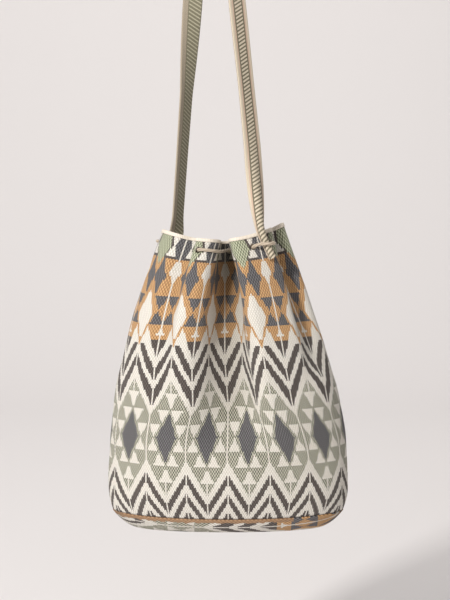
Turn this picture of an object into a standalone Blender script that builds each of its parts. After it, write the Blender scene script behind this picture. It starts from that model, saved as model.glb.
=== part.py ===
"""A woven mochila bucket bag, hanging by its long strap.

Metres, +Z up. The origin is the top of the strap loop, where the bag hangs,
and the front of the bag faces -Y. The cloth is laid out in repeats of its
woven pattern: `cloth` runs round the bag in repeats, rightwards across the
front, and `level` runs up the wall from the base seam at 0 to the rim at 1.
"""

import math
from collections import namedtuple

import bmesh
import bpy
import numpy as np
from mathutils import Vector

# Cloth
MM = 0.001
CLOTH = 2.2 * MM
CLEAR = 0.3 * MM
REPEATS = 14

# Body: place of its upright axis, and its widths, depths and heights
AXIS_X = 17.4 * MM
AXIS_Y = -38.0 * MM
RIM_Z = -414.0 * MM
WALL_HEIGHT = 305.0 * MM
RIM_WIDTH = 128.0 * MM
RIM_DEPTH = 80.0 * MM
BELLY_WIDTH = 262.0 * MM
BELLY_DEPTH = 124.0 * MM
BELLY_HEIGHT = 24.0 * MM
SEAM_WIDTH = 253.0 * MM
SEAM_DEPTH = 104.0 * MM
TUCK_HEIGHT = 40.0 * MM
WIDTH_CURVE = 1.95
DEPTH_CURVE = 5.0
SWAY = 5.5 * MM
RIM_RISE_RIGHT = 0.040
RIM_RISE_BACK = 0.075

# Base panel
BASE_DROP = 20.0 * MM
BASE_ROUND = 33.0 * MM
BASE_CURVE = 2.2

# Rim binding
BINDING = 0.7 * MM
BINDING_DROP = 3.4 * MM
BINDING_EASE = 0.8 * MM

# Drawstring and its eyelets
CORD = 3.6 * MM
EYELET = 7.0 * MM
EYELET_DROP = 13.0 * MM
CORD_PLAY = 1.0 * MM

# Strap
STRAP_WIDTH = 21.5 * MM
STRAP = 2.2 * MM
HOOK_RADIUS = 9.0 * MM
STRAP_FOLD = 3.3 * MM
STRAP_SEWN = 30.0 * MM
FULL_FOLD = math.radians(84)
TAIL = 22.0 * MM

# Where things lie round the cloth, in repeats
FRONT_CENTRE = 3.5
Pleat = namedtuple("Pleat", "at span bend fade lean")
Station = namedtuple("Station", "place turn fold")
PLEATS = (
    Pleat(at=1.85, span=1.0, bend=1.20, fade=0.60, lean=0.1),
    Pleat(at=2.95, span=1.0, bend=1.55, fade=0.35, lean=0.1),
    Pleat(at=4.40, span=1.8, bend=1.75, fade=0.25, lean=0.1),
    Pleat(at=6.45, span=1.2, bend=1.45, fade=0.50, lean=-0.1),
    Pleat(at=7.95, span=1.3, bend=1.60, fade=0.40, lean=0.0),
    Pleat(at=9.55, span=1.7, bend=1.75, fade=0.35, lean=0.0),
    Pleat(at=11.45, span=1.6, bend=1.70, fade=0.35, lean=0.0),
    Pleat(at=13.10, span=1.5, bend=1.65, fade=0.45, lean=0.0),
)
OUTSIDE_RUNS = ((2.30, 3.62), (5.44, 6.14), (7.20, 8.72), (10.58, 12.22), (13.85, 14.95))
STRAP_SEAT = 14.42
TAIL_ROUTE = (5.62, 5.74, 5.98)
TAIL_TURNS = (math.radians(14), math.radians(10), math.radians(8))

# Mesh counts
PLEAT_COLUMNS = 12
FLAT_COLUMNS = 5
WALL_ROWS = 14
BASE_COLUMNS = 56
EYELET_SIDES = 12
CORD_STEP = 4.0 * MM
STRAP_STEP = 10.0 * MM

# Colours, as linear RGB
COLOURS = {
    "sage": (0.33, 0.36, 0.25),
    "ochre": (0.50, 0.28, 0.10),
    "charcoal": (0.12, 0.10, 0.09),
    "cream": (0.80, 0.75, 0.66),
    "olive": (0.16, 0.14, 0.07),
    "taupe": (0.45, 0.36, 0.28),
}


def oval_length(half_width, half_depth):
    """Length round an oval, by Ramanujan's formula."""
    total = half_width + half_depth
    skew = ((half_width - half_depth) / total) ** 2
    return math.pi * total * (1 + 3 * skew / (10 + math.sqrt(4 - 3 * skew)))


GIRTH = oval_length(BELLY_WIDTH / 2, BELLY_DEPTH / 2)
REPEAT = GIRTH / REPEATS


def envelope(level):
    """Centre, half width and half depth of the oval that the folds lie in."""
    height = level * WALL_HEIGHT
    rise = max(0.0, (height - BELLY_HEIGHT) / (WALL_HEIGHT - BELLY_HEIGHT))
    under = max(0.0, 1 - height / BELLY_HEIGHT)
    tuck = max(0.0, 1 - height / TUCK_HEIGHT)
    width = BELLY_WIDTH - (BELLY_WIDTH - RIM_WIDTH) * rise**WIDTH_CURVE
    width -= (BELLY_WIDTH - SEAM_WIDTH) * under**2
    depth = BELLY_DEPTH - (BELLY_DEPTH - RIM_DEPTH) * rise**DEPTH_CURVE
    depth -= (BELLY_DEPTH - SEAM_DEPTH) * tuck**2
    sway = -SWAY * rise * rise * (3 - 2 * rise)
    return sway, width / 2, depth / 2


ALONG = np.linspace(0, 1, 121)


def meander(bend):
    """A fold that keeps the cloth's length: shares run along and dipped inwards."""
    angle = bend * np.sin(2 * math.pi * ALONG)
    step = ALONG[1]
    parts = []
    for slope in (np.cos(angle), np.sin(angle)):
        middle = (slope[1:] + slope[:-1]) / 2 * step
        parts.append(np.concatenate(([0.0], np.cumsum(middle))))
    return parts


def bends(level, pull):
    """The bend of each pleat at this level, for this pull on the gathers."""
    return [
        p.bend * pull * max(0.0, (level - p.fade) / (1 - p.fade)) ** 0.8 for p in PLEATS
    ]


def pull_at(level):
    """How hard the pleats fold to take up the cloth that the oval has no room for."""
    _, half_width, half_depth = envelope(level)
    spare = (GIRTH - oval_length(half_width, half_depth)) / REPEAT
    low, high = 0.0, 1.6
    for _ in range(30):
        pull = (low + high) / 2
        taken = sum(
            p.span * (1 - meander(min(b, 1.9))[0][-1])
            for p, b in zip(PLEATS, bends(level, pull))
        )
        low, high = (pull, high) if taken < spare else (low, pull)
    return pull


def oval(half_width, half_depth, run):
    """Points and outward directions on an oval, run metres right of its front."""
    turn = np.linspace(-math.pi / 2, 1.5 * math.pi, 721)
    x, y = half_width * np.cos(turn), half_depth * np.sin(turn)
    length = np.concatenate(([0.0], np.cumsum(np.hypot(np.diff(x), np.diff(y)))))
    angle = np.interp(np.mod(run, length[-1]), length, turn)
    out = np.stack((np.cos(angle) / half_width, np.sin(angle) / half_depth), 1)
    out /= np.linalg.norm(out, axis=1)[:, None]
    points = np.stack((half_width * np.cos(angle), half_depth * np.sin(angle)), 1)
    return points, out, length[-1]


class Section:
    """The gathered wall at one level, seen from above."""

    def __init__(self, level):
        self.level = level
        self.sway, self.half_width, self.half_depth = envelope(level)
        pull = pull_at(level)
        self.folds = [meander(min(b, 1.9)) for b in bends(level, pull)]
        self.total = self.run(np.array([float(REPEATS)]))[0]

    def run(self, cloth):
        """How far round the oval the cloth has come, in repeats."""
        turns, cloth = np.divmod(cloth, REPEATS)
        run = cloth.copy()
        for pleat, (along, _) in zip(PLEATS, self.folds):
            share = np.clip((cloth - pleat.at) / pleat.span + 0.5, 0, 1)
            run -= pleat.span * (share - np.interp(share, ALONG, along))
        whole = REPEATS - sum(p.span * (1 - f[0][-1]) for p, f in zip(PLEATS, self.folds))
        return run + turns * whole

    def frame(self, cloth):
        """Points on the oval and the directions out of it."""
        start = self.run(np.array([FRONT_CENTRE]))[0]
        size = oval_length(self.half_width, self.half_depth) / self.total
        return oval(self.half_width, self.half_depth, (self.run(cloth) - start) * size)

    def outside(self, cloth, gap):
        """Points over the folds, this far out of the oval."""
        points, out, _ = self.frame(cloth)
        return self.place(points + out * gap)

    def points(self, cloth):
        """Points in the middle of the cloth's thickness."""
        points, _, _ = self.frame(cloth)
        _, ways, _ = self.frame(np.array([p.at for p in PLEATS]))
        for pleat, (_, dip), out in zip(PLEATS, self.folds, ways):
            share = np.clip((np.mod(cloth, REPEATS) - pleat.at) / pleat.span + 0.5, 0, 1)
            depth = np.interp(share, ALONG, dip) * pleat.span * REPEAT
            side = np.array((-out[1], out[0]))
            points = points + (side * pleat.lean - out) * depth[:, None]
        return self.place(points)

    def place(self, points):
        """Raises plan points to their height, and moves them to the bag's axis."""
        x, y = points[:, 0] + self.sway, points[:, 1]
        tilt = (RIM_RISE_RIGHT * x + RIM_RISE_BACK * y) * self.level**3
        z = RIM_Z - WALL_HEIGHT * (1 - self.level) + tilt
        return np.stack((AXIS_X + x, AXIS_Y + y, z + 0 * x), 1)


def unit(vectors):
    """The same directions, one long."""
    return vectors / np.linalg.norm(vectors, axis=-1)[..., None]


def skin(level, cloth):
    """Points in the middle of the cloth, with directions out of it and square up it."""
    step = 0.01
    section = Section(level)
    run = unit(section.points(cloth + step) - section.points(cloth - step))
    low, high = Section(level - step), Section(min(level + step, 1.0))
    up = high.points(cloth) - low.points(cloth)
    out = unit(np.cross(run, up))
    return section.points(cloth), out, np.cross(out, run)


def columns():
    """Cloth coordinates of the wall's columns, closest at the folds' edges."""
    found, last = [], 0.0
    for pleat in PLEATS:
        start = pleat.at - pleat.span / 2
        count = max(1, round((start - last) * FLAT_COLUMNS))
        found += list(np.linspace(last, start, count, endpoint=False))
        share = np.arange(PLEAT_COLUMNS) / PLEAT_COLUMNS
        share = share - 0.5 * np.sin(4 * math.pi * share) / (4 * math.pi)
        found += list(start + share * pleat.span)
        last = start + pleat.span
    count = max(1, round((REPEATS - last) * FLAT_COLUMNS))
    found += list(np.linspace(last, REPEATS, count, endpoint=False))
    return np.array(found)


def rows():
    """Levels of the wall's rows, closest at the rim and the seam."""
    share = np.linspace(0, 1, WALL_ROWS)
    eased = share - 0.45 * np.sin(2 * math.pi * share) / (2 * math.pi)
    return np.append(eased * binding_level(), 1.0)


def binding_level():
    """The level that the binding reaches down to."""
    return 1 - BINDING_DROP / WALL_HEIGHT


def collection(name):
    """A collection of this name in the scene."""
    made = bpy.data.collections.new(name)
    bpy.context.scene.collection.children.link(made)
    return made


def material(name, colour, roughness=0.9):
    """A plain cloth finish."""
    made = bpy.data.materials.new(name)
    made.use_nodes = True
    shader = made.node_tree.nodes["Principled BSDF"]
    shader.inputs["Base Color"].default_value = (*COLOURS[colour], 1)
    shader.inputs["Roughness"].default_value = roughness
    shader.inputs["Metallic"].default_value = 0
    return made


def add_object(name, mesh, group, finishes):
    """An object for this mesh, shaded smooth, with its finishes."""
    made = bpy.data.objects.new(name, mesh)
    group.objects.link(made)
    for finish in finishes:
        mesh.materials.append(finish)
    mesh.shade_smooth()
    return made


def rings_mesh(name, rings, round_path=False, caps=False):
    """A mesh that joins rings of points, round a closed path if asked."""
    work = bmesh.new()
    made = [[work.verts.new(p) for p in ring] for ring in rings]
    pairs = list(zip(made, made[1:] + made[:1])) if round_path else list(zip(made, made[1:]))
    for low, high in pairs:
        for i in range(len(low)):
            j = (i + 1) % len(low)
            work.faces.new((low[i], low[j], high[j], high[i]))
    if caps:
        work.faces.new(list(reversed(made[0])))
        work.faces.new(made[-1])
    bmesh.ops.recalc_face_normals(work, faces=work.faces)
    mesh = bpy.data.meshes.new(name)
    work.to_mesh(mesh)
    work.free()
    return mesh


def thicken(made, thickness):
    """Gives an open surface the cloth's thickness, half to each side."""
    solid = made.modifiers.new("Thickness", "SOLIDIFY")
    solid.thickness = thickness
    solid.offset = 0


def field_of(cloth, height):
    """Which field of colour the woven pattern has at this place on the wall."""
    fold = abs((cloth % 1) - 0.5)
    top, middle, green = 0.81 * WALL_HEIGHT, 0.60 * WALL_HEIGHT, 0.16 * WALL_HEIGHT
    if height > top:
        return 0 if fold > 0.25 else 3
    if height > middle:
        return 1 if fold < 0.3 or height > (top + middle) / 2 else 3
    if height > green:
        stripe = (height - 1.7 * fold * REPEAT) / (0.55 * REPEAT)
        return 2 if stripe % 1 < 0.4 else (3 if stripe % 2 < 1 else 0)
    return 2 if (height + 1.7 * fold * REPEAT) / (0.45 * REPEAT) % 1 < 0.45 else 3


def body_wall(group, cutters):
    """The gathered tube of patterned cloth, with its eyelets."""
    across = columns()
    rings = [Section(level).points(across) for level in rows()]
    mesh = rings_mesh("body_wall", rings)
    finishes = [material(f"wall_{c}", c) for c in ("sage", "ochre", "charcoal", "cream")]
    wall = add_object("body_wall", mesh, group, finishes)
    levels = rows()
    for index, face in enumerate(mesh.polygons):
        row, column = divmod(index, len(across))
        height = (levels[row] + levels[row + 1]) / 2 * WALL_HEIGHT
        face.material_index = field_of(across[column], height)
    thicken(wall, CLOTH)
    holes = collection("eyelet_cutters")
    for index, place in enumerate(eyelets()):
        eyelet_cutter(index, place, holes)
    cut = wall.modifiers.new("Eyelets", "BOOLEAN")
    cut.operand_type = "COLLECTION"
    cut.collection = holes
    cutters.children.link(holes)
    bpy.context.scene.collection.children.unlink(holes)
    return wall


def eyelets():
    """Cloth coordinates of the eyelets, in order round the bag."""
    return [end for run in OUTSIDE_RUNS for end in run]


def eyelet_level():
    """The level that the eyelets and the drawstring lie at."""
    return 1 - EYELET_DROP / WALL_HEIGHT


def eyelet_cutter(index, place, group):
    """A short cylinder through the cloth where an eyelet goes."""
    points, outs, _ = skin(eyelet_level(), np.array([place]))
    centre, out = points[0], Vector(outs[0])
    work = bmesh.new()
    bmesh.ops.create_cone(
        work,
        cap_ends=True,
        segments=EYELET_SIDES,
        radius1=EYELET / 2,
        radius2=EYELET / 2,
        depth=CLOTH * 2.6,
    )
    mesh = bpy.data.meshes.new(f"eyelet_cutter_{index}")
    work.to_mesh(mesh)
    work.free()
    made = bpy.data.objects.new(mesh.name, mesh)
    made.location = centre
    made.rotation_mode = "QUATERNION"
    made.rotation_quaternion = out.to_track_quat("Z", "Y")
    made.hide_render = True
    made.display_type = "WIRE"
    group.objects.link(made)


def base_panel(group):
    """The shallow oval dish of the same cloth that closes the bottom."""
    sway, half_width, half_depth = envelope(0)
    rings = []
    edge = CLOTH / 2 + CLEAR
    steps = 5
    for step in range(steps + 1):
        inset = BASE_ROUND * (step / steps) ** 1.2
        drop = BASE_DROP * (1 - (1 - inset / BASE_ROUND) ** BASE_CURVE)
        turn = np.linspace(0, 2 * math.pi, BASE_COLUMNS, endpoint=False)
        x = AXIS_X + sway + (half_width - inset) * np.cos(turn)
        y = AXIS_Y + (half_depth - inset) * np.sin(turn)
        z = RIM_Z - WALL_HEIGHT - edge - drop + 0 * x
        rings.append(np.stack((x, y, z), 1))
    work = bmesh.new()
    mesh = rings_mesh("base_panel", rings)
    work.from_mesh(mesh)
    work.verts.ensure_lookup_table()
    middle = work.verts[-BASE_COLUMNS:]
    work.faces.new(middle)
    bmesh.ops.recalc_face_normals(work, faces=work.faces)
    work.to_mesh(mesh)
    work.free()
    panel = add_object("base_panel", mesh, group, [material("base_cloth", "charcoal")])
    thicken(panel, CLOTH)
    return panel


def rim_binding(group):
    """The narrow cream tape folded over the rim all round."""
    across = columns()
    low = binding_level()
    near = CLOTH / 2 + BINDING_EASE
    far = near + BINDING
    profile = (
        (low, far, 0),
        (1, far, BINDING_EASE + BINDING),
        (1, -far, BINDING_EASE + BINDING),
        (low, -far, 0),
        (low, -near, 0),
        (1, -near, BINDING_EASE),
        (1, near, BINDING_EASE),
        (low, near, 0),
    )
    skins = {level: skin(level, across) for level in (low, 1)}
    corners = []
    for level, side, above in profile:
        points, out, up = skins[level]
        corners.append(points + out * side + up * above)
    rings = np.stack(corners, 1)
    mesh = rings_mesh("rim_binding", rings, round_path=True)
    return add_object("rim_binding", mesh, group, [material("binding_tape", "cream")])


def taut(points, side):
    """The tight string over plan points: the hull on one side of its two ends."""
    start, end = points[0][:2], points[-1][:2]
    along = (end - start) / np.linalg.norm(end - start)
    across = np.array((along[1], -along[0])) * side
    flat = [((p[:2] - start) @ along, (p[:2] - start) @ across, i) for i, p in enumerate(points)]
    length = np.linalg.norm(end - start)
    middle = sorted(f for f in flat[1:-1] if 0 < f[0] < length and f[1] > 0)
    kept = []
    for point in [flat[0], *middle, flat[-1]]:
        while len(kept) > 1:
            (u0, w0, _), (u1, w1, _) = kept[-2:]
            if (u1 - u0) * (point[1] - w0) - (w1 - w0) * (point[0] - u0) < 0:
                break
            kept.pop()
        kept.append(point)
    return [points[i] for _, _, i in kept]


def cord_route():
    """Points along the drawstring, out and in through the eyelets."""
    off = CLOTH / 2 + CORD / 2 + CORD_PLAY
    stops = eyelets()
    route = []
    for index, start in enumerate(stops):
        end = stops[(index + 1) % len(stops)] + (REPEATS if index + 1 == len(stops) else 0)
        sign = 1 if index % 2 == 0 else -1
        points, out, _ = skin(eyelet_level(), np.linspace(start, end, 90))
        line = points + sign * off * out
        if start < TAIL_ROUTE[1] < end and sign > 0:
            line = np.concatenate((line[:-1], over_tail(CORD / 2 + 3 * CORD_PLAY), line[-1:]))
        route += [points[0], *taut(line, sign)]
    return route


def evenly(line, spacing):
    """The same line with even points."""
    lengths = np.linalg.norm(np.diff(line[:, :3], axis=0), axis=1)
    where = np.concatenate(([0.0], np.cumsum(lengths)))
    at = np.linspace(0, where[-1], max(12, round(where[-1] / spacing)) + 1)
    return np.stack([np.interp(at, where, line[:, k]) for k in range(line.shape[1])], 1)


def smooth(points, spacing):
    """An even, rounded closed line through these points."""
    line = np.array(points + points[:1])
    for _ in range(4):
        line = evenly(line, spacing / 3)[:-1]
        line = (np.roll(line, 1, 0) + 2 * line + np.roll(line, -1, 0)) / 4
        line = np.concatenate((line, line[:1]))
    return evenly(line, spacing)[:-1]


def drawstring(group):
    """The round cord that gathers the neck, in one closed loop."""
    data = bpy.data.curves.new("drawstring", "CURVE")
    data.dimensions = "3D"
    data.bevel_depth = CORD / 2
    data.bevel_resolution = 2
    spline = data.splines.new("POLY")
    line = smooth(cord_route(), CORD_STEP)
    spline.points.add(len(line) - 1)
    for point, place in zip(spline.points, line):
        point.co = (*place, 1)
    spline.use_cyclic_u = True
    made = bpy.data.objects.new("drawstring", data)
    group.objects.link(made)
    data.materials.append(material("drawstring_cord", "taupe"))
    return made


def fold_profile(fold):
    """Plan of the strap's section, curled back by this half angle."""
    stations = np.array((-1, -0.5, 0, 0.5, 1)) * STRAP_FOLD
    stations = np.concatenate(([-STRAP_WIDTH / 2], stations, [STRAP_WIDTH / 2]))
    angle = fold * np.clip(stations / STRAP_FOLD, -1, 1)
    fine = np.linspace(0, STRAP_WIDTH / 2, 81)
    bent = fold * np.clip(fine / STRAP_FOLD, 0, 1)
    step = fine[1]
    across = np.concatenate(([0], np.cumsum(np.cos((bent[1:] + bent[:-1]) / 2)) * step))
    back = np.concatenate(([0], np.cumsum(np.sin((bent[1:] + bent[:-1]) / 2)) * step))
    u = np.sign(stations) * np.interp(abs(stations), fine, across)
    n = -np.interp(abs(stations), fine, back)
    half = STRAP / 2
    front = list(zip(u + np.sin(angle) * half, n + np.cos(angle) * half))
    rear = list(zip(u - np.sin(angle) * half, n - np.cos(angle) * half))
    return front + rear[::-1]


def tail_station(level, cloth, turn, gap):
    """A place for the folded tail that stands this far off the cloth."""
    at = np.array([cloth])
    section = Section(level)
    _, out, _ = section.frame(at)
    across = np.array((math.cos(turn), math.sin(turn)))
    face = np.array((across[1], -across[0]))
    reach = max(-(u * across + n * face) @ out[0] for u, n in fold_profile(FULL_FOLD))
    below = Section(level - 0.02).outside(at, 0) - section.outside(at, 0)
    flare = below[0, :2] @ out[0] / -below[0, 2]
    stand = gap + reach * math.hypot(1, flare)
    return Station(section.outside(at, stand)[0], turn, FULL_FOLD)


def tail_stations():
    """The tail from the rim, past the drawstring, to its free end."""
    off = CLOTH / 2 + 2 * CLEAR
    levels = (1.0, eyelet_level(), eyelet_level() - TAIL / WALL_HEIGHT)
    gaps = (off + BINDING + BINDING_EASE, off + CLEAR, off)
    return [tail_station(*each) for each in zip(levels, TAIL_ROUTE, TAIL_TURNS, gaps)]


def over_tail(gap):
    """Points round the front of the folded tail, where the drawstring crosses it."""
    station = tail_stations()[1]
    across = np.array((math.cos(station.turn), math.sin(station.turn), 0))
    face = np.array((across[1], -across[0], 0))
    radius = STRAP_FOLD / FULL_FOLD
    wide = radius + STRAP / 2 + gap
    round_it = [(math.sin(a) * wide, math.cos(a) * wide - radius) for a in np.linspace(-1.4, 1.4, 9)]
    back = STRAP_FOLD - STRAP_WIDTH / 2 - radius
    outline = [(-wide, back), *round_it, (wide, back)]
    return [station.place + across * u + face * n for u, n in outline]




def strap_stations():
    """The strap's inner leg, its top and its outer leg, as stations in order."""
    inner = []
    inside = CLOTH / 2 + CLEAR + STRAP / 2
    clear_of_tape = inside + BINDING_EASE + BINDING
    seat = np.array([STRAP_SEAT])
    for below, off in (
        (STRAP_SEWN, inside),
        (STRAP_SEWN / 2, inside + CLEAR),
        (0.0, clear_of_tape + STRAP),
    ):
        level = 1 - below / WALL_HEIGHT
        _, half_width, half_depth = envelope(level)
        hollow = STRAP_WIDTH**2 / 8 * half_width / half_depth**2
        points, outs, _ = skin(level, seat)
        turn = math.atan2(outs[0, 1], outs[0, 0]) + math.pi / 2
        inner.append(Station(points[0] - outs[0] * (off + hollow), turn, 0.0))
    centre = np.array((0, 0, -HOOK_RADIUS - STRAP))
    top = [
        Station(
            centre + np.array((-math.cos(a), 0, math.sin(a))) * (HOOK_RADIUS + STRAP / 2),
            math.radians(90),
            0.0,
        )
        for a in np.linspace(0, math.pi, 9)
    ]
    entry = inner[-1].place
    for share, turn in ((0.20, 238), (0.38, 232), (0.62, 190), (0.80, 150), (0.93, 105)):
        place = entry + (top[0].place - entry) * share
        inner.append(Station(place, math.radians(turn), 0.0))
    outer = tail_stations()
    for share, turn, fold in (
        (0.05, 18, 58),
        (0.12, 26, 30),
        (0.22, 34, 6),
        (0.38, 38, 0),
        (0.60, 31, 0),
        (0.78, 50, 0),
        (0.92, 75, 0),
    ):
        start = tail_stations()[0].place
        place = start + (top[-1].place - start) * share
        outer.insert(0, Station(place, math.radians(turn), math.radians(fold)))
    return [*inner, top[0]], top, [top[-1], *outer]


def as_keys(stations):
    """Stations as rows of x, y, z, turn and fold."""
    return np.array([(*s.place, s.turn, s.fold) for s in stations])


def spread(stations, spacing):
    """Even stations along a rounded line through these ones."""
    keys = as_keys(stations)
    for _ in range(3):
        keys = evenly(keys, spacing / 3)
        inner = (keys[:-2] + 2 * keys[1:-1] + keys[2:]) / 4
        keys = np.concatenate((keys[:1], inner, keys[-1:]))
    return evenly(keys, spacing)


def strap(group):
    """The long flat band, twisted in both legs, with its folded tail outside."""
    inner, top, outer = strap_stations()
    legs = spread(inner, STRAP_STEP), spread(outer, STRAP_STEP)
    keys = np.concatenate((legs[0], as_keys(top)[1:-1], legs[1]))
    rings = []
    for index, (x, y, z, turn, fold) in enumerate(keys):
        after, before = keys[min(index + 1, len(keys) - 1)], keys[max(index - 1, 0)]
        along = Vector(after[:3] - before[:3]).normalized()
        across = Vector((math.cos(turn), math.sin(turn), 0))
        across = (across - along * across.dot(along)).normalized()
        face = along.cross(across)
        ring = [Vector((x, y, z)) + across * u + face * n for u, n in fold_profile(fold)]
        rings.append(ring)
    mesh = rings_mesh("strap", rings, caps=True)
    return add_object("strap", mesh, group, [material("strap_band", "olive")])


def main():
    """Clears the scene and builds the bag."""
    for item in list(bpy.data.objects):
        bpy.data.objects.remove(item, do_unlink=True)
    bag = collection("mochila_bag")
    cutters = collection("cutters")
    body_wall(bag, cutters)
    base_panel(bag)
    rim_binding(bag)
    drawstring(bag)
    strap(bag)


main()
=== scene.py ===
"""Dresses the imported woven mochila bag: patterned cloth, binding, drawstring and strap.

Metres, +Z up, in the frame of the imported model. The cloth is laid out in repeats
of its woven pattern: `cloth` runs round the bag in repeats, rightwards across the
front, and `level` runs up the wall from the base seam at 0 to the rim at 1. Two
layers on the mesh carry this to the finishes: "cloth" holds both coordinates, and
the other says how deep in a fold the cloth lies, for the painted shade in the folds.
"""

import logging
import math
from dataclasses import dataclass, field
from enum import Enum
from functools import lru_cache
from typing import Callable, Iterator, NamedTuple, Sequence, Union

import bmesh
import bpy
import numpy as np
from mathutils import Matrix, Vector, noise

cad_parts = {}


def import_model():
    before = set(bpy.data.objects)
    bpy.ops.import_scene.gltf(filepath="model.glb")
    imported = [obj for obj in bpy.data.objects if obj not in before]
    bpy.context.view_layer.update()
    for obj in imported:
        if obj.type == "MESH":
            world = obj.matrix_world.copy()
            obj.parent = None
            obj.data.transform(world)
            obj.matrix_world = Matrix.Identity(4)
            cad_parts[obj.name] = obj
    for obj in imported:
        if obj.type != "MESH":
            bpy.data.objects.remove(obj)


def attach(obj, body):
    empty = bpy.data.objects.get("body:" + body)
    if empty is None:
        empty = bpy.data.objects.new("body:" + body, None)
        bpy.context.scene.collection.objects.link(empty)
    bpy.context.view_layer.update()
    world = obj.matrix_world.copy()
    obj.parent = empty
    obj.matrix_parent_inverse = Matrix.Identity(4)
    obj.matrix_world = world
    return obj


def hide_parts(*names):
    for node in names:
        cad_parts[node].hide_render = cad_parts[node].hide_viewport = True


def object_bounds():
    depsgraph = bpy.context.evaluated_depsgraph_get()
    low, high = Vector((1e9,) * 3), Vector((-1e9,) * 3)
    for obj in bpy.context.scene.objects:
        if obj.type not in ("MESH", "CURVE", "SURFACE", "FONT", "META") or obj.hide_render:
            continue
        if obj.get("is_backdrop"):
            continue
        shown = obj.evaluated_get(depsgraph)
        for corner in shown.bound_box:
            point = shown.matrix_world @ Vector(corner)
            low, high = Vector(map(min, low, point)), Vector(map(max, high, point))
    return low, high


MM = 0.001
STRAP_WIDTH = 21.5 * MM
SHEEN = {"Sheen_Weight": 0.06, "Sheen_Roughness": 0.5}
log = logging.getLogger("mochila")


class Pleat(NamedTuple):
    """A fold of the gathered neck.

    Its middle and its span are in repeats of cloth, its bend is in radians, it fades
    out at a level below the rim, and it leans sideways as it goes in.
    """

    at: float
    span: float
    bend: float
    fade: float
    lean: float

    def share(self, cloth: np.ndarray) -> np.ndarray:
        """How far through the fold the cloth is, 0 before it and 1 past it."""
        return np.clip((cloth - self.at) / self.span + 0.5, 0, 1)


class Station(NamedTuple):
    """A place on the strap, the turn of its width and how far it is folded."""

    place: np.ndarray
    turn: float
    fold: float


class Yarn(Enum):
    """Yarns of the woven pattern: its number, its colour and its shaded colour."""

    CREAM = (0, (0.83, 0.805, 0.745), (0.60, 0.56, 0.49))
    SAGE = (1, (0.60, 0.585, 0.475), (0.045, 0.045, 0.03))
    LEAF = (2, (0.56, 0.58, 0.42), (0.11, 0.13, 0.07))
    OCHRE = (3, (0.69, 0.42, 0.19), (0.30, 0.145, 0.055))
    CHARCOAL = (4, (0.120, 0.098, 0.088), (0.030, 0.024, 0.022))
    SLATE = (5, (0.170, 0.167, 0.176), (0.030, 0.030, 0.036))

    @property
    def number(self) -> int:
        """The yarn's place in the ramps."""
        return self.value[0]


def unit(vectors: np.ndarray) -> np.ndarray:
    """The same directions, one long."""
    return vectors / np.maximum(np.linalg.norm(vectors, axis=-1), 1e-12)[..., None]


# ---------------------------------------------------------------- shader maths


def maths(operation: str, swapped: bool = False) -> Callable[..., "Value"]:
    """A method that makes a Math node of a value and what it's given.

    Args:
        operation: the node's operation.
        swapped: puts the value itself last, for a reflected operator.

    Returns:
        The method.
    """

    def run(self: "Value", *others: "Number") -> "Value":
        """The Math node's result."""
        return self.bench.math(operation, *((*others, self) if swapped else (self, *others)))

    return run


class Value:
    """A number that varies over a surface, with its maths written as expressions.

    A comparison is a mask, 1 where it holds and 0 elsewhere. & holds where both masks
    do, and | where either does.
    """

    def __init__(self, bench: "Bench", socket: bpy.types.NodeSocket) -> None:
        """Wraps an output socket of a material under construction."""
        self.bench = bench
        self.socket = socket

    __add__ = __radd__ = maths("ADD")
    __sub__, __rsub__ = maths("SUBTRACT"), maths("SUBTRACT", swapped=True)
    __mul__ = __rmul__ = __and__ = maths("MULTIPLY")
    __truediv__, __rtruediv__ = maths("DIVIDE"), maths("DIVIDE", swapped=True)
    __mod__ = maths("FLOORED_MODULO")
    __lt__, __gt__ = maths("LESS_THAN"), maths("GREATER_THAN")
    __or__ = most = maths("MAXIMUM")
    least = maths("MINIMUM")
    __abs__ = maths("ABSOLUTE")
    floor, cos, sin = maths("FLOOR"), maths("COSINE"), maths("SINE")

    def between(self, low: "Number", high: "Number") -> "Value":
        """1 where the value lies between low and high."""
        return (self > low) & (self < high)


Number = Union[float, int, Value]


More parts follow.
